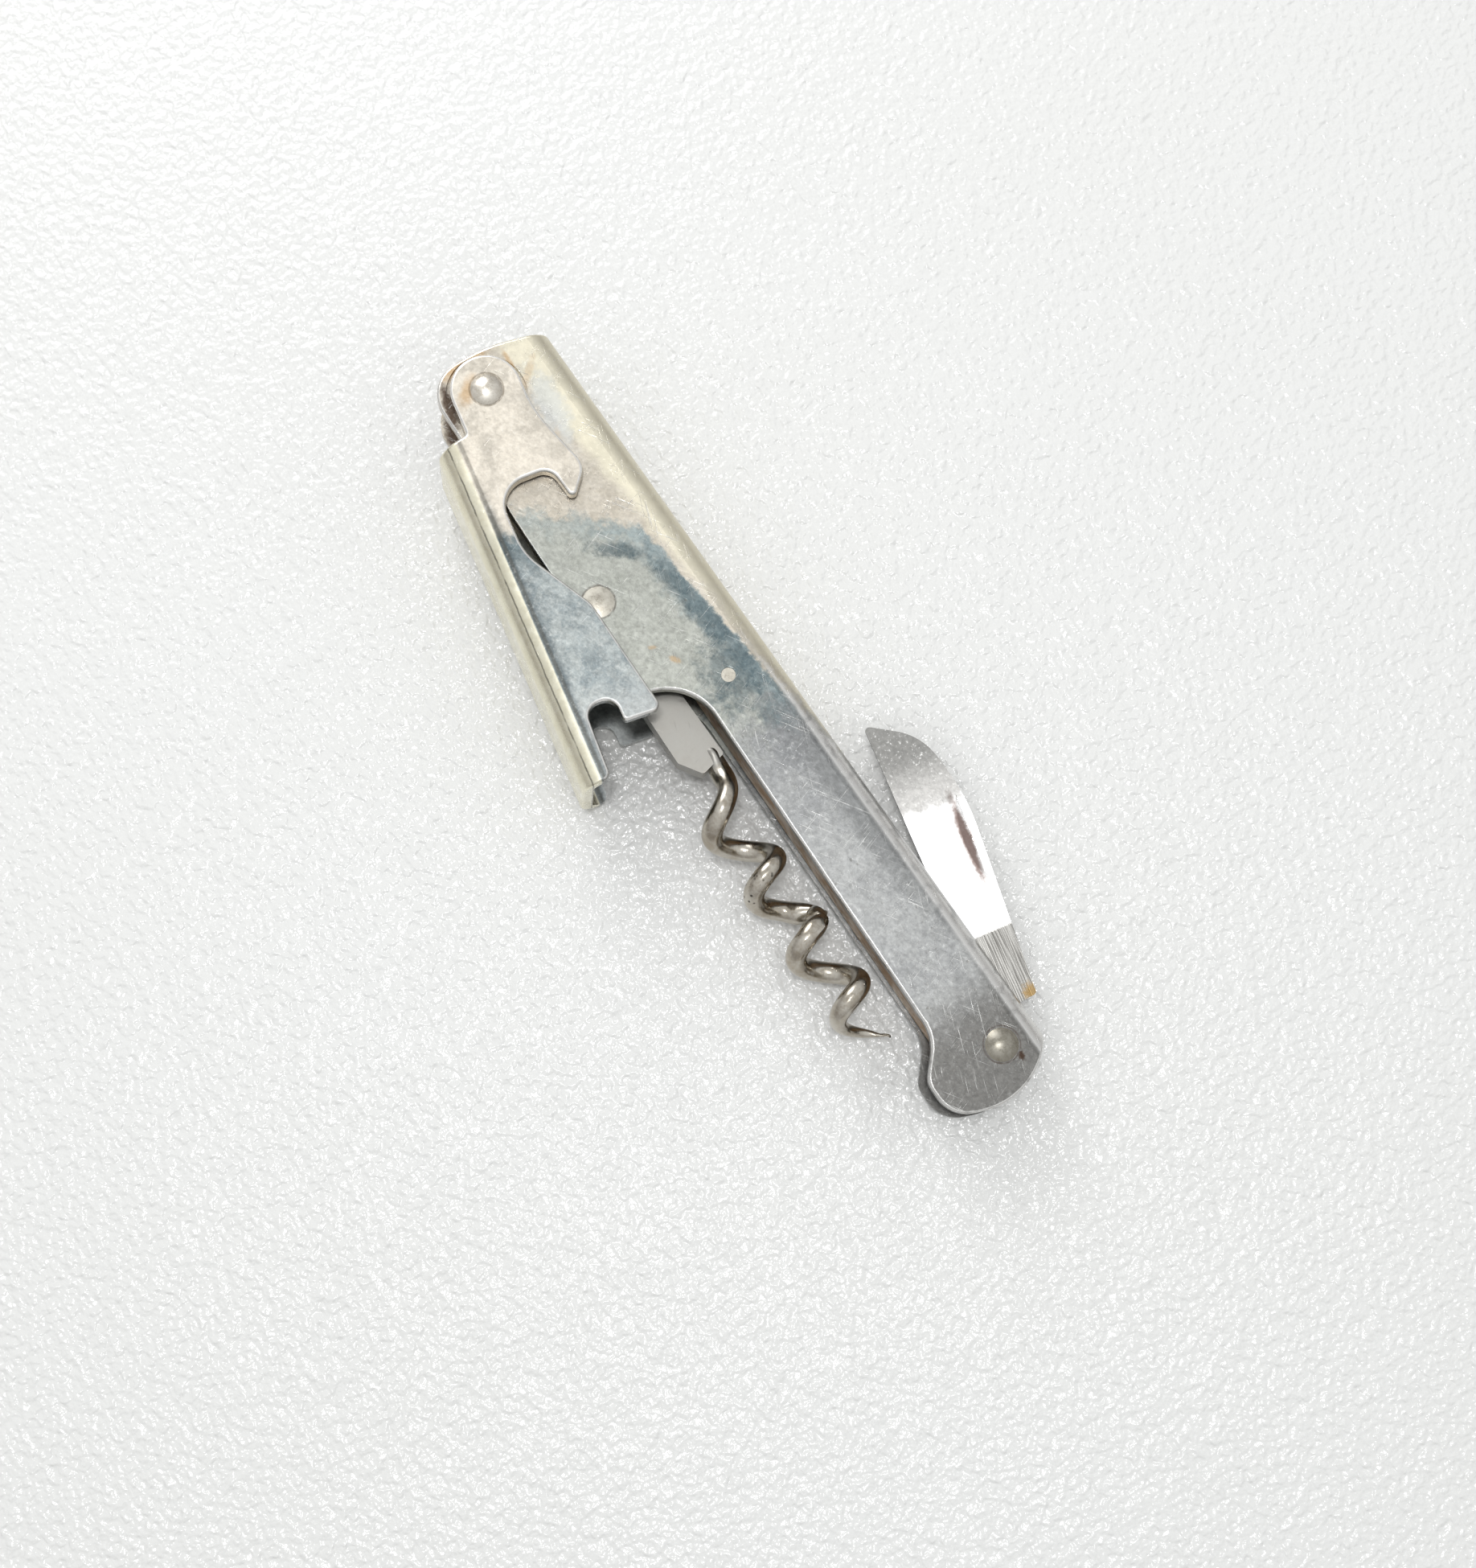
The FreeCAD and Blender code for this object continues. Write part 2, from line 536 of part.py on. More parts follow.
def main():
    nodes = {
        "handle_shell": handle_shell(),
        "lever": lever(),
        "lever_rivet": lever_rivet(),
        "lever_spacer": lever_spacer(),
        "worm": worm(),
        "worm_rivet": worm_rivet_body(0),
        "worm_washer_near": washer(WORM_PIVOT, TANG_THICK, 1),
        "worm_washer_far": washer(WORM_PIVOT, TANG_THICK, -1),
        "knife_blade": knife_blade(),
        "knife_rivet": knife_rivet(),
        "knife_washer_near": washer(KNIFE_PIVOT, BLADE_THICK, 1),
        "knife_washer_far": washer(KNIFE_PIVOT, BLADE_THICK, -1),
        "back_spring": back_spring(),
        "spring_pin": spring_pin(),
    }
    # The origin goes to the middle of the whole tool's footprint, on the plane it lies on.
    box = Part.makeCompound(list(nodes.values())).optimalBoundingBox(True, False)
    shift = V(-(box.XMin + box.XMax) / 2, -(box.YMin + box.YMax) / 2, -box.ZMin)
    os.makedirs("parts", exist_ok=True)
    for name, shape in nodes.items():
        if len(shape.Solids) != 1 or not shape.isValid():
            print("look at", name, "solids", len(shape.Solids), "valid", shape.isValid())
        solid = shape.Solids[0]
        solid.translate(shift)
        solid.exportStep("parts/" + name + ".step")
        print(name, "volume", round(solid.Volume, 1), "mm3")
    print("box", round(box.XLength, 3), round(box.YLength, 3), round(box.ZLength, 3))
    print("shift", round(shift.x, 4), round(shift.y, 4), round(shift.z, 4))
    for label, pivot in (("lever", LEVER_PIVOT), ("worm", WORM_PIVOT), ("knife", KNIFE_PIVOT)):
        print(label, "pivot", round(pivot.x + shift.x, 4), round(pivot.y + shift.y, 4))


main()
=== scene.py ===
# %% [markdown]
# # Lever corkscrew
# A folded sheet handle holds a worm, a folding blade and a long lever. Nearly all of it is
# nickel plate over steel, so the looks live in the plating: cream where it is thick, blue-grey
# where it has tarnished, bright on worn edges, where a painted highlight is laid on too. The
# spine and the lever's rivet are also painted brighter, as painted reflections. The CAD frame
# gives every shape its place, and this file adds the finishes, the table, the lights and the camera.

# %% Load the frame
import json
import math
import bpy
import numpy as np
from mathutils import Matrix, Vector
from mathutils.geometry import intersect_point_tri_2d


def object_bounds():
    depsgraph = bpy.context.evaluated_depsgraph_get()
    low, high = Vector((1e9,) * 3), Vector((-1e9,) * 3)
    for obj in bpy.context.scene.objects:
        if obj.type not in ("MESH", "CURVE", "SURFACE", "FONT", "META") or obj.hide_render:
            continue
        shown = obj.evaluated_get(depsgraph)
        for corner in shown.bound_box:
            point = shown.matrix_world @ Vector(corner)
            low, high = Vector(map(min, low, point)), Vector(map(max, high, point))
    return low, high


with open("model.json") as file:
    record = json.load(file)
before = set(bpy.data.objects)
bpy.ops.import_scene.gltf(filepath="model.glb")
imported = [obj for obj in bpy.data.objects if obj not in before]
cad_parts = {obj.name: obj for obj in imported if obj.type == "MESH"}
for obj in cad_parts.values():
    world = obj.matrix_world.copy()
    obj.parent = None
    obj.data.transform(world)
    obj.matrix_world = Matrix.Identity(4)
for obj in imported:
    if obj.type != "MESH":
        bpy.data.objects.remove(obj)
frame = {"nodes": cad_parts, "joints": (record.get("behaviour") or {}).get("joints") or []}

MM = 0.001
cad_box = [list(corner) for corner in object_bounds()]
print("frame:", len(frame["nodes"]), "nodes, box", cad_box)

# %% [markdown]
# ## Camera
# A tool on a table is usually shown from above. A slightly long lens keeps the plates' outlines
# true, and the small lean lets the lever's wall show beside its flat cheek. The framing is cut
# from above the middle of a wider view, so the lens is shifted a little, and no more than that,
# because a large shift would push the tool out of other views.

# %% Camera
CAMERA_PLACE = (0.04215, -0.05565, 0.28514)
CAMERA_TURN = (0.1083, -0.0826, 0.9724)
LENS = 51.69
SENSOR = 36.0
RISE = 0.15
lens = bpy.data.cameras.new("camera")
lens.lens = LENS
lens.sensor_width = SENSOR
lens.shift_y = RISE
lens.clip_start = 0.01
lens.clip_end = 20.0
camera = bpy.data.objects.new("camera", lens)
camera.location = CAMERA_PLACE
camera.rotation_euler = CAMERA_TURN
bpy.context.scene.collection.objects.link(camera)
bpy.context.scene.camera = camera
print("camera:", LENS, "mm lens,", round(camera.location.length, 3), "m away")

# %% [markdown]
# ## Node helpers
# A finish is a small graph of nodes. It could be wired by hand in the editor. Here three short
# helpers do the same: one adds a node and fills its sockets, one starts a node group, and one
# places a finished group inside a material.

# %% Node helpers
def put(tree, kind, fill=None, **options):
    """Adds a node, sets its options, and fills its sockets with values or links."""
    made = tree.nodes.new("ShaderNode" + kind)
    for name, value in options.items():
        setattr(made, name, value)
    for key, value in (fill or {}).items():
        if isinstance(value, bpy.types.NodeSocket):
            tree.links.new(value, made.inputs[key])
        else:
            made.inputs[key].default_value = value
    return made


def sums(tree, how, first, second=0.0, clamp=False):
    return put(tree, "Math", {0: first, 1: second}, operation=how, use_clamp=clamp).outputs[0]


def times(tree, first, second):
    return sums(tree, "MULTIPLY", first, second)


def plus(tree, first, second):
    return sums(tree, "ADD", first, second)


def fade(tree, value, start, end, low=0.0, high=1.0):
    """Turns a value into a smooth step from low to high."""
    fill = {"Value": value, "From Min": start, "From Max": end, "To Min": low, "To Max": high}
    return put(tree, "MapRange", fill, interpolation_type="SMOOTHSTEP").outputs[0]


def tint(tree, share, under, over):
    """Lays one colour over another by a share."""
    fill = {0: share}
    for key, colour in ((6, under), (7, over)):
        fill[key] = colour if isinstance(colour, bpy.types.NodeSocket) else (*colour, 1.0)
    return put(tree, "Mix", fill, data_type="RGBA").outputs[2]


def turn_flat(tree, place, angle):
    """Turns a place about the upright axis."""
    return put(tree, "VectorRotate", {"Vector": place, "Angle": angle}, rotation_type="Z_AXIS").outputs[0]


def squeeze(tree, place, factors):
    """Stretches or squeezes a place along each axis."""
    return put(tree, "VectorMath", {0: place, 1: factors}, operation="MULTIPLY").outputs[0]


def shade(tree, colour, amount):
    """Makes a colour darker or lighter by a factor."""
    return put(tree, "VectorMath", {0: colour, 3: amount}, operation="SCALE").outputs[0]


def grain(tree, place, scale, detail=3.0, roughness=0.5, warp=0.0):
    fill = {"Vector": place, "Scale": scale, "Detail": detail, "Roughness": roughness, "Distortion": warp}
    return put(tree, "TexNoise", fill).outputs[0]


def start_group(name, inputs, outputs):
    tree = bpy.data.node_groups.new(name, "ShaderNodeTree")
    for label, kind, value in inputs:
        socket = tree.interface.new_socket(label, in_out="INPUT", socket_type="NodeSocket" + kind)
        if value is not None:
            socket.default_value = value
    for label, kind in outputs:
        tree.interface.new_socket(label, in_out="OUTPUT", socket_type="NodeSocket" + kind)
    return tree, tree.nodes.new("NodeGroupInput").outputs, tree.nodes.new("NodeGroupOutput").inputs


def use(tree, name, fill=None):
    """Places a finished group and gives its outputs."""
    node = put(tree, "Group", node_tree=bpy.data.node_groups[name])
    for key, value in (fill or {}).items():
        if isinstance(value, bpy.types.NodeSocket):
            tree.links.new(value, node.inputs[key])
        else:
            node.inputs[key].default_value = value
    return node.outputs


# %% [markdown]
# ## Place and stains
# Real tarnish sits in patches with feathered rims. A picture could be painted on, but a stain
# made from numbers stays sharp at any size. Each patch is an oval, placed and turned in
# millimetres from the worm's pivot, and noise pushes its rim in and out.

# %% Groups: place in millimetres, oval stain
JOINT_AT = {joint["name"]: Vector(joint["pos_m"]) for joint in frame["joints"]}
ORIGIN = JOINT_AT["worm_pivot"]
LEVER_PIVOT = (JOINT_AT["lever_pivot"] - ORIGIN) / MM
KNIFE_PIVOT = (JOINT_AT["knife_pivot"] - ORIGIN) / MM
tree, _, gives = start_group("millimetres", [], [("Place", "Vector")])
spot = put(tree, "TexCoord").outputs["Object"]
spot = put(tree, "VectorMath", {0: spot, 1: (ORIGIN.x, ORIGIN.y, 0.0)}, operation="SUBTRACT").outputs[0]
tree.links.new(put(tree, "VectorMath", {0: spot, 3: 1 / MM}, operation="SCALE").outputs[0], gives["Place"])

tree, given, gives = start_group(
    "stain",
    [("Place", "Vector", None), ("Centre", "Vector", None), ("Turn", "Float", 0.0),
     ("Size", "Vector", (5.0, 5.0, 50.0)), ("Ragged", "Float", 0.5), ("Soft", "Float", 0.3),
     ("Grain", "Float", 0.8)],
    [("Mask", "Float")])
moved = put(tree, "VectorMath", {0: given["Place"], 1: given["Centre"]}, operation="SUBTRACT").outputs[0]
turned = turn_flat(tree, moved, given["Turn"])
oval = put(tree, "VectorMath", {0: turned, 1: given["Size"]}, operation="DIVIDE").outputs[0]
far = put(tree, "VectorMath", {0: oval}, operation="LENGTH").outputs["Value"]
rough = grain(tree, given["Place"], given["Grain"], detail=7.0, roughness=0.62)
push = times(tree, sums(tree, "SUBTRACT", rough, 0.5), given["Ragged"])
far = plus(tree, far, times(tree, push, 2.0))
inner = sums(tree, "SUBTRACT", 1.0, given["Soft"])
outer = plus(tree, 1.0, given["Soft"])
tree.links.new(fade(tree, far, inner, outer, 1.0, 0.0), gives["Mask"])
print("groups: millimetres, stain")

# %% [markdown]
# ## Scratches, pits and clouds
# Years in a drawer leave fine scratches, and the plating pits and clouds. Scratches are noise
# squeezed thin across one direction and cut off high, so only a few threads are left. Pits are
# the middles of scattered cells. Clouds are two sizes of noise added together.

# %% Groups: scratches, pits, clouds
tree, given, gives = start_group(
    "scratches",
    [("Place", "Vector", None), ("Turn", "Float", 0.0), ("Share", "Float", 0.3), ("Fine", "Float", 1.0)],
    [("Mask", "Float")])
turned = turn_flat(tree, given["Place"], given["Turn"])
thin = squeeze(tree, turned, (0.16, 7.0, 1.0))
thread = grain(tree, thin, given["Fine"], detail=2.0, roughness=0.5, warp=0.15)
cut = sums(tree, "SUBTRACT", 0.78, times(tree, given["Share"], 0.3))
line = fade(tree, thread, cut, plus(tree, cut, 0.05))
broken = fade(tree, grain(tree, given["Place"], 0.35, detail=3.0), 0.42, 0.6)
tree.links.new(times(tree, line, broken), gives["Mask"])

tree, given, gives = start_group(
    "pits",
    [("Place", "Vector", None), ("Scale", "Float", 1.6), ("Share", "Float", 0.3)],
    [("Mask", "Float")])
cells = put(tree, "TexVoronoi", {"Vector": given["Place"], "Scale": given["Scale"]}).outputs
dot = fade(tree, cells["Distance"], 0.12, 0.26, 1.0, 0.0)
patches = grain(tree, given["Place"], 0.45, detail=4.0)
pick = fade(tree, patches, sums(tree, "SUBTRACT", 0.75, given["Share"]), 0.8)
tree.links.new(times(tree, dot, pick), gives["Mask"])

tree, given, gives = start_group(
    "clouds",
    [("Place", "Vector", None), ("Broad", "Float", 0.22), ("Fine", "Float", 1.6)],
    [("Mask", "Float"), ("Speckle", "Float")])
broad = grain(tree, given["Place"], given["Broad"], detail=5.0, roughness=0.6, warp=0.6)
fine = grain(tree, given["Place"], given["Fine"], detail=6.0, roughness=0.68)
both = plus(tree, times(tree, broad, 0.62), times(tree, fine, 0.38))
tree.links.new(fade(tree, both, 0.36, 0.64), gives["Mask"])
tree.links.new(fade(tree, fine, 0.56, 0.7), gives["Speckle"])
print("groups: scratches, pits, clouds")

# %% [markdown]
# ## Worn edges and painted edge highlights
# Plating rubs thin first where a flat turns into an edge, and the bright line laid there is
# also a painted highlight, the glint a rounded edge catches. A bevel shader could find edges, but
# every plate here is flat and level, so an edge is simply where the surface starts to lean. The
# group reads the lean from the part's own normal, and noise breaks up the bright line.

# %% Groups: edge wear and painted highlight, side faces
tree, given, gives = start_group(
    "edge wear and highlight",
    [("Place", "Vector", None)],
    [("Edge", "Float"), ("Side", "Float"), ("Up", "Float")])
lean = put(tree, "SeparateXYZ", {0: put(tree, "TexCoord").outputs["Normal"]}).outputs[2]
size = sums(tree, "ABSOLUTE", lean)
edge = times(tree, fade(tree, size, 0.999, 0.96), fade(tree, size, 0.05, 0.35))
# Noise breaks up the bright edge line, which is wear and painted highlight at once.
worn = fade(tree, grain(tree, given["Place"], 0.7, detail=4.0), 0.3, 0.5, 0.55, 1.0)
tree.links.new(times(tree, edge, worn), gives["Edge"])
tree.links.new(fade(tree, size, 0.9, 0.6), gives["Side"])
tree.links.new(lean, gives["Up"])
print("groups: edge wear and highlight")

# %% [markdown]
# ## Finishing helpers
# All finishes share one skeleton: a metal shader with colour, roughness and a bump height. The
# helper wires that skeleton, and each finish below only says what goes in.

# %% Finishing helpers
def start_metal(name, metallic=1.0):
    finish = bpy.data.materials.new(name)
    finish.use_nodes = True
    tree = finish.node_tree
    shader = tree.nodes["Principled BSDF"]
    shader.inputs["Metallic"].default_value = metallic
    place = use(tree, "millimetres")["Place"]
    return finish, tree, shader, place


def end_metal(tree, shader, colour, roughness, height, depth=0.02):
    """Wires colour, roughness and a bump whose height is given in millimetres."""
    tree.links.new(colour, shader.inputs["Base Color"])
    tree.links.new(roughness, shader.inputs["Roughness"])
    bump = put(tree, "Bump", {"Height": height, "Strength": 1.0, "Distance": depth * MM})
    tree.links.new(bump.outputs[0], shader.inputs["Normal"])


def stain(tree, place, x, y, long, wide, turn=0.0, ragged=0.5, soft=0.3, grain_size=0.8, z=7.5, tall=50.0):
    """Mask of one oval stain; long lies along X before it is turned."""
    fill = {"Place": place, "Centre": (x, y, z), "Turn": -math.radians(turn), "Size": (long, wide, tall),
            "Ragged": ragged, "Soft": soft, "Grain": grain_size}
    return use(tree, "stain", fill)["Mask"]


def ring(tree, place, x, y, radius, wide):
    """Mask of a thin ring, such as the dirt round a rivet's foot."""
    flat = squeeze(tree, place, (1.0, 1.0, 0.0))
    away = put(tree, "VectorMath", {0: flat, 1: (x, y, 0.0)}, operation="DISTANCE").outputs["Value"]
    off = sums(tree, "ABSOLUTE", sums(tree, "SUBTRACT", away, radius))
    patchy = fade(tree, grain(tree, place, 1.1, detail=4.0), 0.3, 0.6, 0.35, 1.0)
    return times(tree, fade(tree, off, wide, wide * 0.3), patchy)


def mottle(tree, place, low, high, scale=3.2):
    """A factor that wanders between low and high in fine, slightly dragged mottles."""
    dragged = squeeze(tree, turn_flat(tree, place, -0.4), (0.85, 1.0, 1.0))
    return fade(tree, grain(tree, dragged, scale, detail=5.0, roughness=0.7), 0.34, 0.66, low, high)


def add_scratches(tree, place, share=0.3):
    """Scratches in three directions, added up."""
    total = None
    for turn, fine in ((0.35, 1.0), (-0.6, 0.8), (1.25, 1.3)):
        one = use(tree, "scratches", {"Place": place, "Turn": turn, "Share": share, "Fine": fine})["Mask"]
        total = one if total is None else sums(tree, "MAXIMUM", total, one)
    return total


def dress(finish, *nodes):
    for node in nodes:
        for place in frame["nodes"][node].material_slots:
            place.material = finish
    print(finish.name, "on", ", ".join(nodes))


# %% [markdown]
# ## Handle plating
# The handle is cream at the head and along its spine, where hands have kept it clean; along the
# spine an olive-cream is painted brighter, a painted reflection on the rounded bend. A big
# blue-grey tarnish starts at a slanted, feathered line, darkest at its rim, and the tail half is
# dull grey with pale flecks. The finish starts cream and lays each of these over it in turn.

# %% Handle plating
CREAM = (0.50, 0.455, 0.38)
CREAM_PALE = (0.64, 0.60, 0.535)
GREY_GREEN = (0.365, 0.375, 0.34)
TARNISH_BLUE = (0.275, 0.335, 0.35)
TARNISH_DEEP = (0.07, 0.105, 0.12)
TAIL_DARK = (0.22, 0.225, 0.23)
TAIL_GREY = (0.43, 0.435, 0.43)
TAIL_PALE = (0.62, 0.625, 0.62)
BULB_GREY = (0.155, 0.15, 0.14)
RUST_PALE = (0.50, 0.30, 0.11)
# Near-black for rust, for dirt at the rivets' feet and for the painted shade in the slit.
RUST_AND_SHADE_DARK = (0.055, 0.03, 0.018)
# Olive of the spine, painted light as well: a painted reflection on the rounded bend.
SPINE_OLIVE_AND_SHEEN = (0.76, 0.715, 0.57)
# The tarnish's front slants across the plate, and its upper rim runs beside the spine bend.
FRONT_SLANT = -0.84
FRONT_BEFORE_PIVOT = 14.6
RIM_SLOPE = 0.12
RIM_ABOVE_PIVOT = 10.7
# Where the grey tail half and the darker bulb begin and are full.
TAIL_FROM, TAIL_FULL = 19.5, 28.0
BULB_FROM, BULB_FULL = 62.0, 70.5

plated_handle, tree, shader, place = start_metal("plated handle")
parts = put(tree, "SeparateXYZ", {0: place}).outputs
clouds = use(tree, "clouds", {"Place": place, "Broad": 0.16, "Fine": 1.3})
blotch = use(tree, "clouds", {"Place": place, "Broad": 0.5, "Fine": 3.2})
edges = use(tree, "edge wear and highlight", {"Place": place})
feather = sums(tree, "SUBTRACT", grain(tree, place, 0.5, detail=9.0, roughness=0.72), 0.5)

cream_mix = times(tree, plus(tree, clouds["Mask"], blotch["Mask"]), 0.4)
colour = tint(tree, cream_mix, CREAM, CREAM_PALE)
# How far a point lies behind the tarnish's slanted front, and below its upper rim, in mm.
behind = plus(tree, parts[0], times(tree, parts[1], FRONT_SLANT))
behind = plus(tree, plus(tree, behind, FRONT_BEFORE_PIVOT), times(tree, feather, 9.0))
below = plus(tree, times(tree, parts[0], RIM_SLOPE), RIM_ABOVE_PIVOT)
below = sums(tree, "SUBTRACT", below, parts[1])
below = plus(tree, below, times(tree, feather, 2.6))
inside = times(tree, fade(tree, behind, 0.0, 2.6), fade(tree, below, 0.0, 0.6))
colour = tint(tree, inside, colour, tint(tree, blotch["Mask"], GREY_GREEN, (0.42, 0.43, 0.395)))
rim = sums(tree, "MINIMUM", times(tree, behind, 0.7), below)
rim = plus(tree, rim, times(tree, feather, 4.5))
blue = times(tree, fade(tree, rim, 4.2, 0.8), inside)
blue = times(tree, blue, fade(tree, parts[1], 1.0, 8.0, 0.4, 1.0))
colour = tint(tree, times(tree, blue, 0.8), colour, TARNISH_BLUE)
deep = stain(tree, place, 8.5, 10.4, 8.0, 1.7, turn=8, ragged=1.1, soft=0.55)
for x, y, long, wide, turn in (
        (16.4, 9.6, 5.6, 4.0, -35), (25.0, 10.6, 7.0, 2.2, -4), (2.5, 9.4, 3.5, 1.2, 20),
        (-4.0, 5.8, 3.6, 0.9, 50)):
    deep = sums(tree, "MAXIMUM", deep, stain(tree, place, x, y, long, wide, turn, ragged=1.1, soft=0.55))
deep = times(tree, times(tree, deep, inside), fade(tree, blotch["Mask"], -0.3, 0.7, 1.0, 0.7))
colour = tint(tree, times(tree, deep, 0.9), colour, TARNISH_DEEP)
# Dull grey tail half with pale flecks, darker again in the bulb.
tail = fade(tree, plus(tree, parts[0], times(tree, feather, 16.0)), TAIL_FROM, TAIL_FULL)
tail = times(tree, tail, fade(tree, below, -1.6, -0.4))
lighter = fade(tree, parts[0], 24.0, 46.0)
tail_mix = plus(tree, times(tree, clouds["Mask"], 0.55), times(tree, lighter, 0.45))
tail_colour = tint(tree, tail_mix, TAIL_DARK, TAIL_GREY)
fleck = sums(tree, "MAXIMUM", clouds["Speckle"], blotch["Speckle"])
tail_colour = tint(tree, times(tree, fleck, 0.5), tail_colour, TAIL_PALE)
dull = stain(tree, place, 38.5, 12.6, 15.0, 2.2, turn=1, ragged=0.6, soft=0.5)
tail_colour = tint(tree, times(tree, dull, 0.75), tail_colour, (0.20, 0.205, 0.205))
bulb = fade(tree, plus(tree, parts[0], times(tree, feather, 8.0)), BULB_FROM, BULB_FULL)
bulb_colour = tint(tree, times(tree, fleck, 0.35), BULB_GREY, TAIL_GREY)
tail_colour = tint(tree, times(tree, bulb, 0.85), tail_colour, bulb_colour)
colour = tint(tree, tail, colour, tail_colour)
colour = shade(tree, colour, mottle(tree, place, 0.88, 1.07, 2.2))
spotty = sums(tree, "MAXIMUM", inside, tail)
spots = shade(tree, colour, mottle(tree, place, 0.84, 1.09, 1.3))
colour = tint(tree, spotty, colour, spots)
# Olive spine, partly its own tone and partly painted brighter as a painted reflection on the rounded bend,
# fading towards the tail.
spine = times(tree, fade(tree, below, 0.2, -1.9), fade(tree, parts[0], 66.0, 20.0, 0.15, 1.0))
colour = tint(tree, times(tree, spine, 0.85), colour, SPINE_OLIVE_AND_SHEEN)
# Blue bloom on the head, rust at the head end, the crease and the knife's rivet, and a dark slit that is
# partly rust and partly painted shade in the recess.
bloom = stain(tree, place, -23.9, 8.9, 5.0, 1.7, turn=-10, ragged=1.0, soft=0.5)
colour = tint(tree, times(tree, bloom, 0.6), colour, (0.56, 0.59, 0.595))
rust = stain(tree, place, -34.3, 2.4, 0.9, 3.6, ragged=0.8, soft=0.6)
for x, y, long, wide, turn, much in (
        (-31.4, 7.7, 1.7, 0.3, -4, 0.9), (-29.0, 8.8, 2.4, 0.5, -50, 0.5), (11.2, 3.9, 0.7, 0.35, 30, 0.8),
        (8.4, 2.4, 0.5, 0.25, 60, 0.6), (-19.5, 6.6, 2.0, 0.5, -40, 0.5)):
    mark = stain(tree, place, x, y, long, wide, turn, ragged=0.8, soft=0.5, grain_size=1.4)
    rust = sums(tree, "MAXIMUM", rust, times(tree, mark, much))
colour = tint(tree, times(tree, rust, 0.6), colour, RUST_PALE)
# The slit beside the lever's boss is painted near-black: partly rust, partly painted shade of the recess
# wall.
dark = stain(tree, place, -30.4, -1.8, 2.9, 0.75, turn=-17, ragged=0.8, soft=0.5, grain_size=1.4)
for x, y, radius in ((0.0, 0.0, 2.12), (KNIFE_PIVOT.x, KNIFE_PIVOT.y, 2.35)):
    dark = sums(tree, "MAXIMUM", dark, times(tree, ring(tree, place, x, y, radius, 0.16), 0.6))
wear = stain(tree, place, 75.9, 12.0, 0.55, 0.4, ragged=0.8, soft=0.5, grain_size=2.0)
dark = sums(tree, "MAXIMUM", dark, wear)
colour = tint(tree, times(tree, dark, 0.9), colour, RUST_AND_SHADE_DARK)
scratch = add_scratches(tree, place, 0.46)
pits = use(tree, "pits", {"Place": place, "Scale": 1.1, "Share": 0.25})["Mask"]
colour = tint(tree, times(tree, scratch, 0.45), colour, (0.82, 0.82, 0.80))
colour = tint(tree, times(tree, pits, 0.4), colour, (0.16, 0.145, 0.12))
# Painted highlight on the rounded edges, laid on together with the rubbed-through plating.
rubbed_edge_and_highlight = times(tree, edges["Edge"], fade(tree, below, -0.8, 0.2))
colour = tint(tree, times(tree, rubbed_edge_and_highlight, 0.75), colour, (0.92, 0.91, 0.89))
roughness = fade(tree, clouds["Mask"], 0.0, 1.0, 0.32, 0.46)
roughness = sums(tree, "SUBTRACT", roughness, times(tree, scratch, 0.12))
roughness = sums(tree, "SUBTRACT", roughness, times(tree, rubbed_edge_and_highlight, 0.15))
height = sums(tree, "SUBTRACT", times(tree, fleck, 0.25), times(tree, scratch, 0.7))
height = sums(tree, "SUBTRACT", height, times(tree, pits, 0.9))
end_metal(tree, shader, colour, roughness, height, 0.016)
dress(plated_handle, "handle_shell")

# %% [markdown]
# ## Lever plating
# The lever's cheek is warm cream from its pivot to the throat, then turns blue-grey, with a dark
# band along the bend. Its rounded wall is olive-cream, with one thin dark line along it. The cut
# faces of the throat and the notch are shiny, because they were blanked after plating.

# %% Lever plating
LEVER_CREAM = (0.76, 0.705, 0.615)
LEVER_CREAM_DARK = (0.62, 0.57, 0.49)
plated_lever, tree, shader, place = start_metal("plated lever")
# Along the lever and across it: the same place, turned by the lever's rest angle.
LEVER_LEAN = math.radians(10.8)
TARNISH_FROM_PIVOT = 18.9
WALL_BELOW_PIVOT = -6.3
own = put(tree, "VectorMath", {0: place, 1: tuple(LEVER_PIVOT)}, operation="SUBTRACT").outputs[0]
own = turn_flat(tree, own, LEVER_LEAN)
parts = put(tree, "SeparateXYZ", {0: own}).outputs
clouds = use(tree, "clouds", {"Place": place, "Broad": 0.2, "Fine": 1.5})
edges = use(tree, "edge wear and highlight", {"Place": place})
feather = sums(tree, "SUBTRACT", grain(tree, place, 0.6, detail=9.0, roughness=0.73), 0.5)
blotch = use(tree, "clouds", {"Place": place, "Broad": 0.55, "Fine": 3.4})
cream_mix = times(tree, plus(tree, clouds["Mask"], blotch["Mask"]), 0.5)
colour = tint(tree, cream_mix, LEVER_CREAM_DARK, LEVER_CREAM)
# The tarnish begins past the throat and creeps further up beside the bend.
begin = sums(tree, "SUBTRACT", parts[0], TARNISH_FROM_PIVOT)
begin = plus(tree, begin, times(tree, parts[1], -0.35))
begin = plus(tree, begin, times(tree, feather, 5.0))
tarnish = fade(tree, begin, 0.0, 2.0)
tarnish_mix = times(tree, plus(tree, clouds["Mask"], blotch["Mask"]), 0.5)
tarnish_colour = tint(tree, tarnish_mix, (0.235, 0.275, 0.29), (0.48, 0.505, 0.49))
first = fade(tree, plus(tree, begin, times(tree, feather, 6.0)), 9.0, 1.5)
tarnish_colour = tint(tree, times(tree, first, 0.8), tarnish_colour, (0.12, 0.16, 0.175))
last = fade(tree, parts[0], 38.0, 45.0)
tarnish_colour = tint(tree, times(tree, last, 0.6), tarnish_colour, (0.42, 0.43, 0.425))
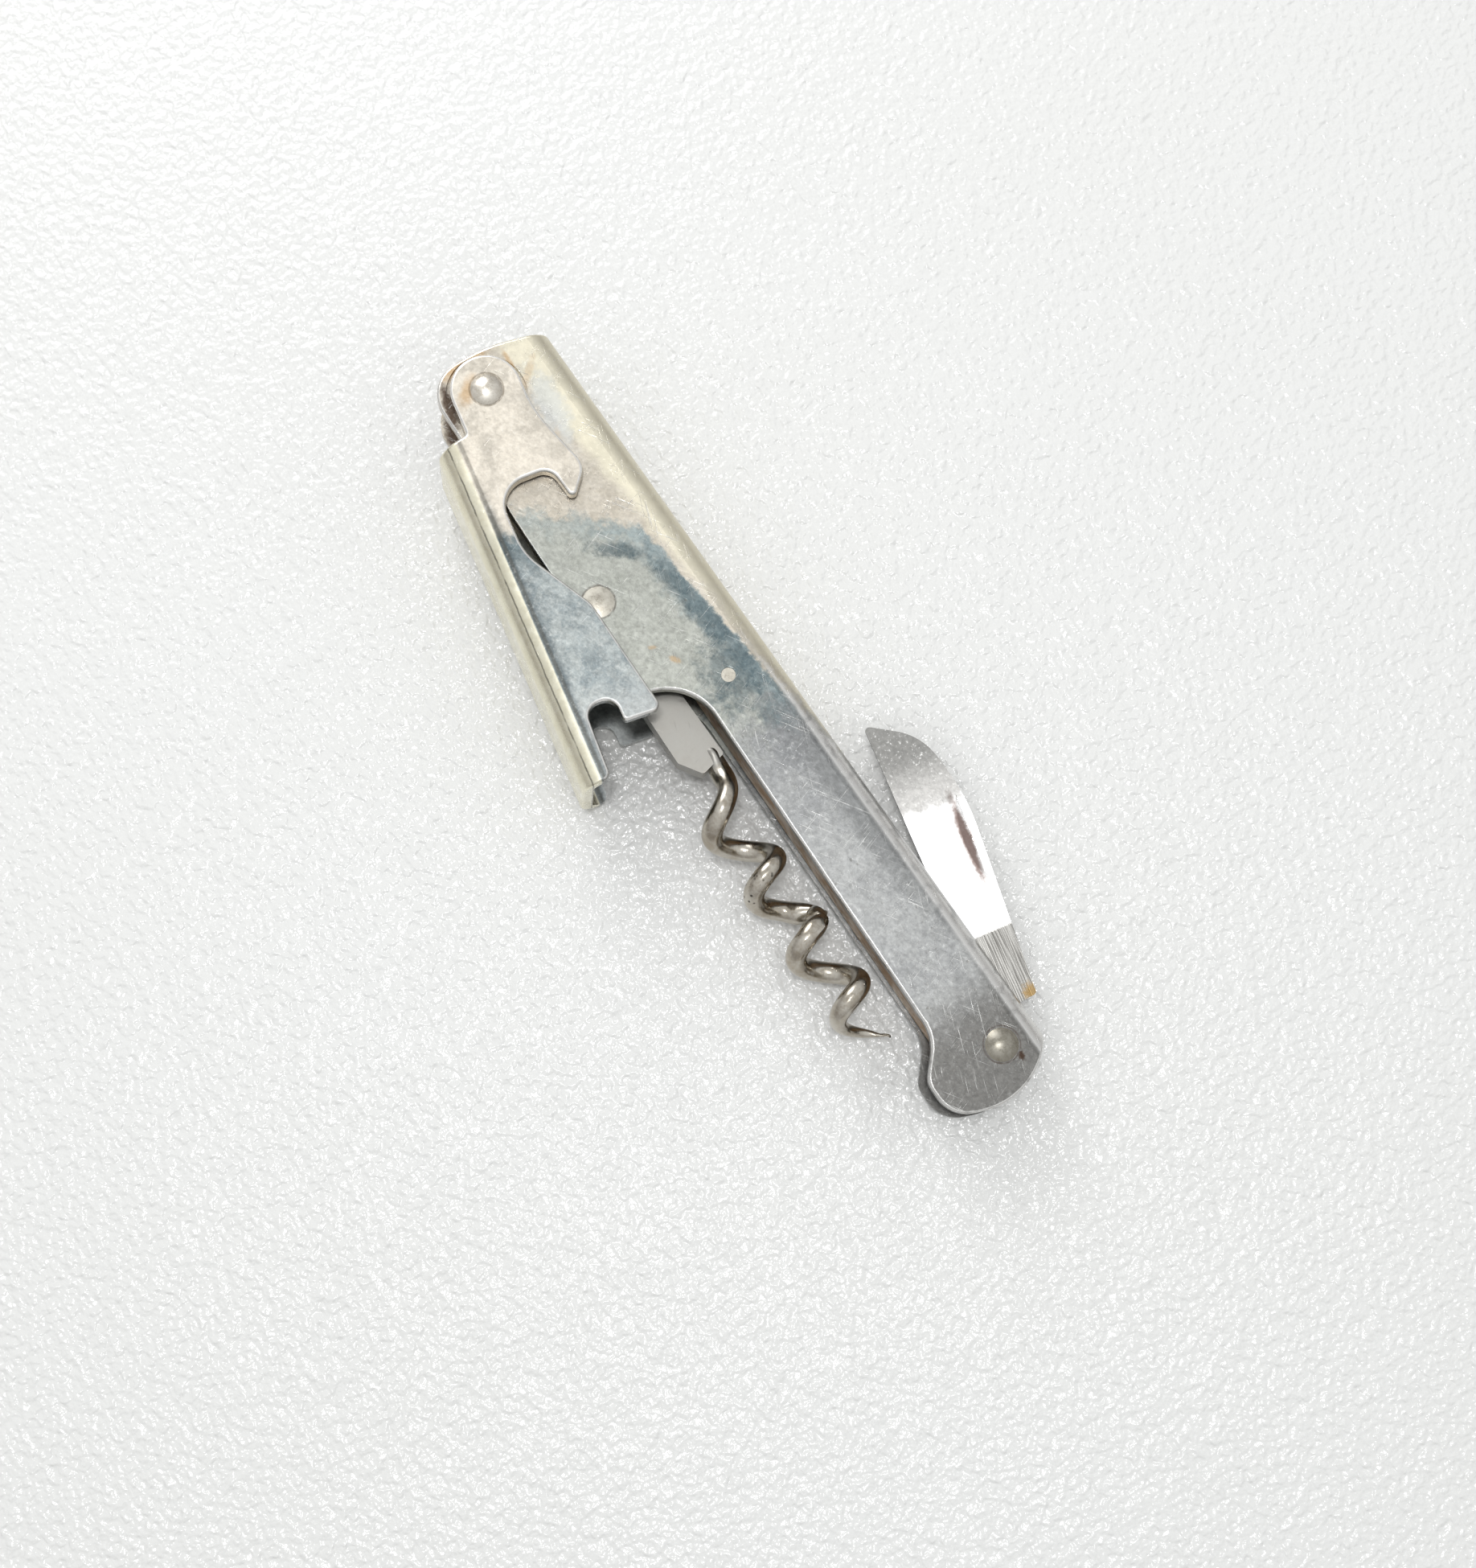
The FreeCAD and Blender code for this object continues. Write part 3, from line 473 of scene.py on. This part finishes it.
colour = tint(tree, tarnish, colour, tarnish_colour)
# Dark band beside the bend.
band_in = plus(tree, parts[1], times(tree, feather, 1.6))
band = times(tree, fade(tree, band_in, -4.6, -5.8), fade(tree, parts[1], -6.35, -5.95))
band = times(tree, band, fade(tree, parts[0], 9.0, 17.0))
colour = tint(tree, times(tree, band, 0.75), colour, (0.07, 0.09, 0.10))
# Olive wall with one thin line.
wall = fade(tree, parts[1], WALL_BELOW_PIVOT + 0.25, WALL_BELOW_PIVOT)
colour = shade(tree, colour, mottle(tree, place, 0.88, 1.07, 2.2))
colour = tint(tree, tarnish, colour, shade(tree, colour, mottle(tree, place, 0.84, 1.10, 1.3)))
wall_colour = tint(tree, blotch["Mask"], (0.80, 0.755, 0.585), (0.92, 0.885, 0.72))
colour = tint(tree, times(tree, wall, 0.9), colour, wall_colour)
fold = times(tree, fade(tree, parts[1], -5.35, -5.6), fade(tree, parts[1], -6.1, -5.85))
crease = plus(tree, plus(tree, parts[1], 7.3), times(tree, feather, 0.35))
crease = fade(tree, sums(tree, "ABSOLUTE", crease), 0.14, 0.03)
crease = times(tree, crease, fade(tree, grain(tree, place, 0.4), 0.35, 0.5, 0.4, 1.0))
crease = sums(tree, "MAXIMUM", crease, times(tree, fold, 0.7))
colour = tint(tree, times(tree, crease, 0.75), colour, (0.10, 0.095, 0.08))
rust = stain(tree, place, -30.4, 0.9, 1.9, 0.8, turn=-50, ragged=0.7, soft=0.6, grain_size=1.4)
colour = tint(tree, times(tree, rust, 0.6), colour, RUST_PALE)
foot = ring(tree, place, LEVER_PIVOT.x, LEVER_PIVOT.y, 2.12, 0.16)
colour = tint(tree, times(tree, foot, 0.6), colour, (0.16, 0.12, 0.08))
scratch = add_scratches(tree, place, 0.25)
pits = use(tree, "pits", {"Place": place, "Scale": 1.3, "Share": 0.22})["Mask"]
fleck = sums(tree, "MAXIMUM", clouds["Speckle"], blotch["Speckle"])
colour = tint(tree, times(tree, fleck, 0.22), colour, (0.72, 0.73, 0.715))
colour = tint(tree, times(tree, pits, 0.35), colour, (0.20, 0.18, 0.15))
colour = tint(tree, times(tree, scratch, 0.25), colour, (0.86, 0.86, 0.84))
# Painted highlight on the lever's rounded edges, laid on together with the rubbed-through plating.
rubbed_edge_and_highlight = times(tree, edges["Edge"], fade(tree, parts[1], -6.2, -5.4))
colour = tint(tree, times(tree, rubbed_edge_and_highlight, 0.85), colour, (0.95, 0.94, 0.92))
roughness = fade(tree, clouds["Mask"], 0.0, 1.0, 0.28, 0.42)
roughness = sums(tree, "SUBTRACT", roughness, times(tree, edges["Side"], 0.12))
roughness = sums(tree, "SUBTRACT", roughness, times(tree, scratch, 0.1))
height = times(tree, clouds["Speckle"], 0.12)
height = sums(tree, "SUBTRACT", height, times(tree, scratch, 0.5))
height = sums(tree, "SUBTRACT", height, times(tree, pits, 0.8))
end_metal(tree, shader, colour, roughness, height, 0.012)
dress(plated_lever, "lever")

# %% [markdown]
# ## Rivets and washers
# The lever's rivet is painted lightest, its lighter plate colours being a painted highlight on
# the dome; the flush rivets are duller, and the knife's is worn grey. One recipe makes all three
# from two plate colours each. The washers inside are plain brass, and the spacer is bare steel
# tube. All are small, so their clouds are finer.

# %% Rivets, washers and spacer
for name, dark_plate, light_plate, wearers in (
        # The lever rivet's lighter colours are a painted highlight on its dome.
        ("plated rivet with painted highlight", (0.66, 0.61, 0.53), (0.84, 0.80, 0.73), ("lever_rivet",)),
        ("flush rivet", (0.42, 0.39, 0.33), (0.57, 0.545, 0.48), ("worm_rivet", "spring_pin")),
        ("worn rivet", (0.29, 0.27, 0.225), (0.41, 0.39, 0.34), ("knife_rivet",))):
    rivet_metal, tree, shader, place = start_metal(name)
    clouds = use(tree, "clouds", {"Place": place, "Broad": 0.9, "Fine": 4.0})
    scratch = use(tree, "scratches", {"Place": place, "Turn": 0.9, "Share": 0.3, "Fine": 2.4})["Mask"]
    edges = use(tree, "edge wear and highlight", {"Place": place})
    colour = tint(tree, clouds["Mask"], dark_plate, light_plate)
    colour = tint(tree, times(tree, edges["Side"], 0.45), colour, (0.42, 0.36, 0.24))
    colour = tint(tree, times(tree, scratch, 0.4), colour, (0.85, 0.84, 0.80))
    roughness = fade(tree, clouds["Mask"], 0.0, 1.0, 0.26, 0.42)
    height = sums(tree, "SUBTRACT", times(tree, clouds["Mask"], 0.3), scratch)
    end_metal(tree, shader, colour, roughness, height, 0.012)
    dress(rivet_metal, *wearers)

brass, tree, shader, place = start_metal("washer brass")
clouds = use(tree, "clouds", {"Place": place, "Broad": 0.8, "Fine": 3.0})
scratch = use(tree, "scratches", {"Place": place, "Turn": 0.4, "Share": 0.4, "Fine": 2.0})["Mask"]
colour = tint(tree, clouds["Mask"], (0.40, 0.26, 0.09), (0.66, 0.48, 0.20))
roughness = fade(tree, clouds["Mask"], 0.0, 1.0, 0.5, 0.3)
end_metal(tree, shader, colour, roughness, sums(tree, "SUBTRACT", 1.0, scratch), 0.015)
dress(brass, "worm_washer_near", "worm_washer_far", "knife_washer_near", "knife_washer_far")

tube_steel, tree, shader, place = start_metal("spacer tube steel")
clouds = use(tree, "clouds", {"Place": place, "Broad": 0.5, "Fine": 2.4})
lathe = grain(tree, squeeze(tree, place, (0.3, 0.3, 9.0)), 1.0, detail=2.0)
colour = tint(tree, clouds["Mask"], (0.28, 0.22, 0.16), (0.52, 0.50, 0.46))
roughness = fade(tree, lathe, 0.3, 0.7, 0.3, 0.5)
end_metal(tree, shader, colour, roughness, lathe, 0.01)
dress(tube_steel, "lever_spacer")

# %% [markdown]
# ## Worm
# The worm is bent wire with a flattened tang. Its plating has gone brown in the hollows and
# is chipped to black pits on the second turn. It is glossier than the plates, because a round
# wire slides on cork instead of lying flat.

# %% Worm
worm_nickel, tree, shader, place = start_metal("worm nickel")
clouds = use(tree, "clouds", {"Place": place, "Broad": 0.45, "Fine": 2.6})
scratch = add_scratches(tree, place, 0.2)
colour = tint(tree, clouds["Mask"], (0.40, 0.355, 0.29), (0.60, 0.57, 0.51))
colour = tint(tree, times(tree, clouds["Speckle"], 0.3), colour, (0.34, 0.28, 0.21))
chips = stain(tree, place, 40.6, -3.4, 2.2, 3.0, ragged=0.5, soft=0.5)
chip_dots = use(tree, "pits", {"Place": place, "Scale": 1.05, "Share": 0.95})["Mask"]
chips = times(tree, chips, chip_dots)
colour = tint(tree, chips, colour, (0.03, 0.025, 0.02))
TANG_END = 25.2
tang = fade(tree, put(tree, "SeparateXYZ", {0: place}).outputs[0], TANG_END, TANG_END - 1.0)
colour = tint(tree, times(tree, tang, 0.8), colour, (0.30, 0.297, 0.283))
roughness = fade(tree, clouds["Mask"], 0.0, 1.0, 0.17, 0.27)
roughness = plus(tree, roughness, times(tree, tang, 0.16))
roughness = plus(tree, roughness, times(tree, chips, 0.4))
height = sums(tree, "SUBTRACT", times(tree, scratch, -0.4), chips)
end_metal(tree, shader, colour, roughness, height, 0.03)
dress(worm_nickel, "worm")

# %% [markdown]
# ## Blade
# The blade is polished almost to a mirror from its plunge line towards the tip, which is scuffed
# grey. Behind the plunge line the ricasso keeps the stripes of the belt that ground it. The nail
# nick is painted dark, partly rust and partly painted shade of its groove, and rust has started
# at the shoulder.

# %% Blade
blade_steel, tree, shader, place = start_metal("blade steel")
KNIFE_LEAN = math.radians(11.0)
PLUNGE_LINE = -13.5
SCUFFED_FROM = -29.8
own = put(tree, "VectorMath", {0: place, 1: tuple(KNIFE_PIVOT)}, operation="SUBTRACT").outputs[0]
own = turn_flat(tree, own, KNIFE_LEAN)
parts = put(tree, "SeparateXYZ", {0: own}).outputs
clouds = use(tree, "clouds", {"Place": place, "Broad": 0.4, "Fine": 2.2})
feather = sums(tree, "SUBTRACT", grain(tree, place, 0.6, detail=7.0, roughness=0.65), 0.5)
scratch = add_scratches(tree, place, 0.22)
ricasso = fade(tree, parts[0], PLUNGE_LINE - 0.4, PLUNGE_LINE)
tip = plus(tree, parts[0], times(tree, feather, 4.0))
tip = fade(tree, tip, SCUFFED_FROM, SCUFFED_FROM - 2.2)
belt = grain(tree, squeeze(tree, own, (0.12, 4.0, 1.0)), 1.6, detail=3.0)
scuffed = tint(tree, fade(tree, parts[0], -32.0, -39.0), (0.50, 0.49, 0.475), (0.24, 0.238, 0.228))
colour = tint(tree, tip, (0.97, 0.965, 0.96), scuffed)
colour = shade(tree, colour, mottle(tree, place, 0.80, 1.04, 2.0))
tip_fleck = times(tree, times(tree, tip, clouds["Speckle"]), 0.7)
colour = tint(tree, tip_fleck, colour, (0.80, 0.80, 0.78))
stripe = tint(tree, fade(tree, belt, 0.35, 0.65), (0.20, 0.193, 0.18), (0.52, 0.51, 0.485))
colour = tint(tree, ricasso, colour, stripe)
# Nail nick painted dark brown: rust, and painted shade standing in for the groove.
nick_rust_and_shade = stain(tree, own, -25.4, 7.3, 5.6, 0.75, turn=-2, ragged=0.5, soft=0.4, z=0.0, grain_size=1.2)
colour = tint(tree, times(tree, nick_rust_and_shade, 0.88), colour, (0.11, 0.055, 0.04))
shoulder = stain(tree, own, -4.6, 6.9, 1.2, 0.9, ragged=0.9, soft=0.5, z=0.0, grain_size=1.6)
colour = tint(tree, times(tree, shoulder, 0.8), colour, (0.36, 0.22, 0.06))
roughness = fade(tree, tip, 0.0, 1.0, 0.1, 0.42)
roughness = plus(tree, roughness, times(tree, ricasso, 0.25))
roughness = plus(tree, roughness, times(tree, nick_rust_and_shade, 0.2))
height = times(tree, belt, ricasso)
height = sums(tree, "SUBTRACT", height, times(tree, scratch, 0.3))
end_metal(tree, shader, colour, roughness, height, 0.02)
dress(blade_steel, "knife_blade")

# %% [markdown]
# ## Back spring
# The spring bar sits between the plates and is only wiped with oil, so it is brown with rust.
# Its surface is streaked along its length, as drawn strip is.

# %% Back spring
spring_steel, tree, shader, place = start_metal("oiled spring steel", 0.9)
clouds = use(tree, "clouds", {"Place": place, "Broad": 0.35, "Fine": 1.8})
streak = grain(tree, squeeze(tree, place, (0.12, 3.0, 3.0)), 1.0, detail=4.0)
colour = tint(tree, fade(tree, streak, 0.35, 0.65), (0.20, 0.14, 0.09), (0.46, 0.38, 0.28))
colour = tint(tree, times(tree, clouds["Mask"], 0.6), colour, (0.30, 0.16, 0.07))
roughness = fade(tree, clouds["Mask"], 0.0, 1.0, 0.35, 0.6)
end_metal(tree, shader, colour, roughness, streak, 0.03)
dress(spring_steel, "back_spring")

# %% [markdown]
# ## Table
# The tool lies on a pale painted top with an orange-peel skin. Lying free, it tips until it
# touches at three points: two on the far cheek's rim and one on the knife rivet's dome. They could
# be written down, but they would be wrong as soon as a size changed, so they are found: a plane
# starts on three points high above, and each time a lower point shows, it takes one of the three
# places, until none is lower. The table is that plane, set a hair lower.

# %% Table
TABLE_SIZE = 3.0
TABLE_GAP = 0.02 * MM
TOUCH_WITHIN = 0.001 * MM
MOST_STEPS = 500


def find_level(feet):
    level = (feet[1] - feet[0]).cross(feet[2] - feet[0]).normalized()
    return level if level.z > 0 else -level


def find_feet(points, middle):
    """The three points that a shape stands on, with its middle between them."""
    feet = [middle + Vector((math.cos(angle), math.sin(angle), 1.0)) for angle in (0.0, 2.1, 4.2)]
    for _ in range(MOST_STEPS):
        level = find_level(feet)
        heights = points @ np.array(level) - feet[0].dot(level)
        if heights.min() > -TOUCH_WITHIN:
            return feet
        lowest = Vector(points[heights.argmin()])
        trials = [feet[:i] + [lowest] + feet[i + 1:] for i in range(3)]
        feet = next(t for t in trials if intersect_point_tri_2d(middle.xy, t[0].xy, t[1].xy, t[2].xy))
    raise ValueError("no three points to stand on were found")


corners = []
for node in frame["nodes"].values():
    flat_list = np.empty(len(node.data.vertices) * 3)
    node.data.vertices.foreach_get("co", flat_list)
    corners.append(flat_list.reshape(-1, 3))
middle = (Vector(cad_box[0]) + Vector(cad_box[1])) / 2
feet = find_feet(np.vstack(corners), middle)
level = find_level(feet)
print("stands on, in mm:", [[round(value / MM, 3) for value in foot] for foot in feet])
bpy.ops.object.select_all(action="DESELECT")
bpy.ops.mesh.primitive_plane_add(size=TABLE_SIZE)
table = bpy.context.object
table.name = "table"
turn = Vector((0, 0, 1)).rotation_difference(level).to_matrix().to_4x4()
table_middle = min(feet, key=lambda foot: foot.y) - level * TABLE_GAP
table.data.transform(Matrix.Translation(table_middle) @ turn)

table_paint = bpy.data.materials.new("table paint")
table_paint.use_nodes = True
tree = table_paint.node_tree
shader = tree.nodes["Principled BSDF"]
place = use(tree, "millimetres")["Place"]
peel = grain(tree, place, 0.95, detail=1.6, roughness=0.4, warp=0.15)
soft = grain(tree, place, 0.012, detail=2.0)
paint = tint(tree, soft, (0.79, 0.79, 0.775), (0.81, 0.815, 0.81))
tree.links.new(paint, shader.inputs["Base Color"])
shader.inputs["Roughness"].default_value = 0.18
bump = put(tree, "Bump", {"Height": peel, "Strength": 1.0, "Distance": 0.42 * MM})
tree.links.new(bump.outputs[0], shader.inputs["Normal"])
table.data.materials.append(table_paint)
print("table: level", [round(v, 4) for v in level])

# %% [markdown]
# ## Light
# The room light is soft and nearly white: a pale ceiling, darker walls. Metal shows whatever is
# round it, so the walls are what draw the dark lines on the round wire. One broad lamp hangs
# overhead, and one stands off to the head's side, so soft shadows fall towards the tail. A dim
# pale panel hangs where the polished blade mirrors it, which is what turns the blade white.

# %% Light
room = bpy.data.worlds.new("room")
room.use_nodes = True
bpy.context.scene.world = room
tree = room.node_tree
height = put(tree, "SeparateXYZ", {0: put(tree, "TexCoord").outputs["Generated"]}).outputs[2]
wall_to_ceiling = fade(tree, height, 0.05, 0.85)
glow = tint(tree, wall_to_ceiling, (0.46, 0.45, 0.44), (0.80, 0.81, 0.81))
tree.links.new(glow, tree.nodes["Background"].inputs["Color"])


def hang_lamp(name, place, aim, size, power):
    light = bpy.data.lights.new(name, "AREA")
    light.shape = "DISK"
    light.size = size
    light.energy = power
    lamp = bpy.data.objects.new(name, light)
    lamp.location = place
    lamp.rotation_euler = (Vector(aim) - Vector(place)).to_track_quat("-Z", "Y").to_euler()
    bpy.context.scene.collection.objects.link(lamp)
    print("lamp:", name, power, "W")


hang_lamp("overhead lamp", place=(-0.04, -0.19, 1.5), aim=(0.047, -0.036, 0.0), size=0.22, power=4.2)
hang_lamp("head side lamp", place=(-0.42, 0.06, 0.27), aim=(0.0, 0.0, 0.0), size=0.30, power=0.80)
hang_lamp("pale panel", place=(-0.083, 0.191, 1.5), aim=(0.028, 0.015, 0.0), size=0.42, power=0.55)
bpy.context.scene.view_settings.view_transform = "Standard"
bpy.context.scene.view_settings.look = "None"
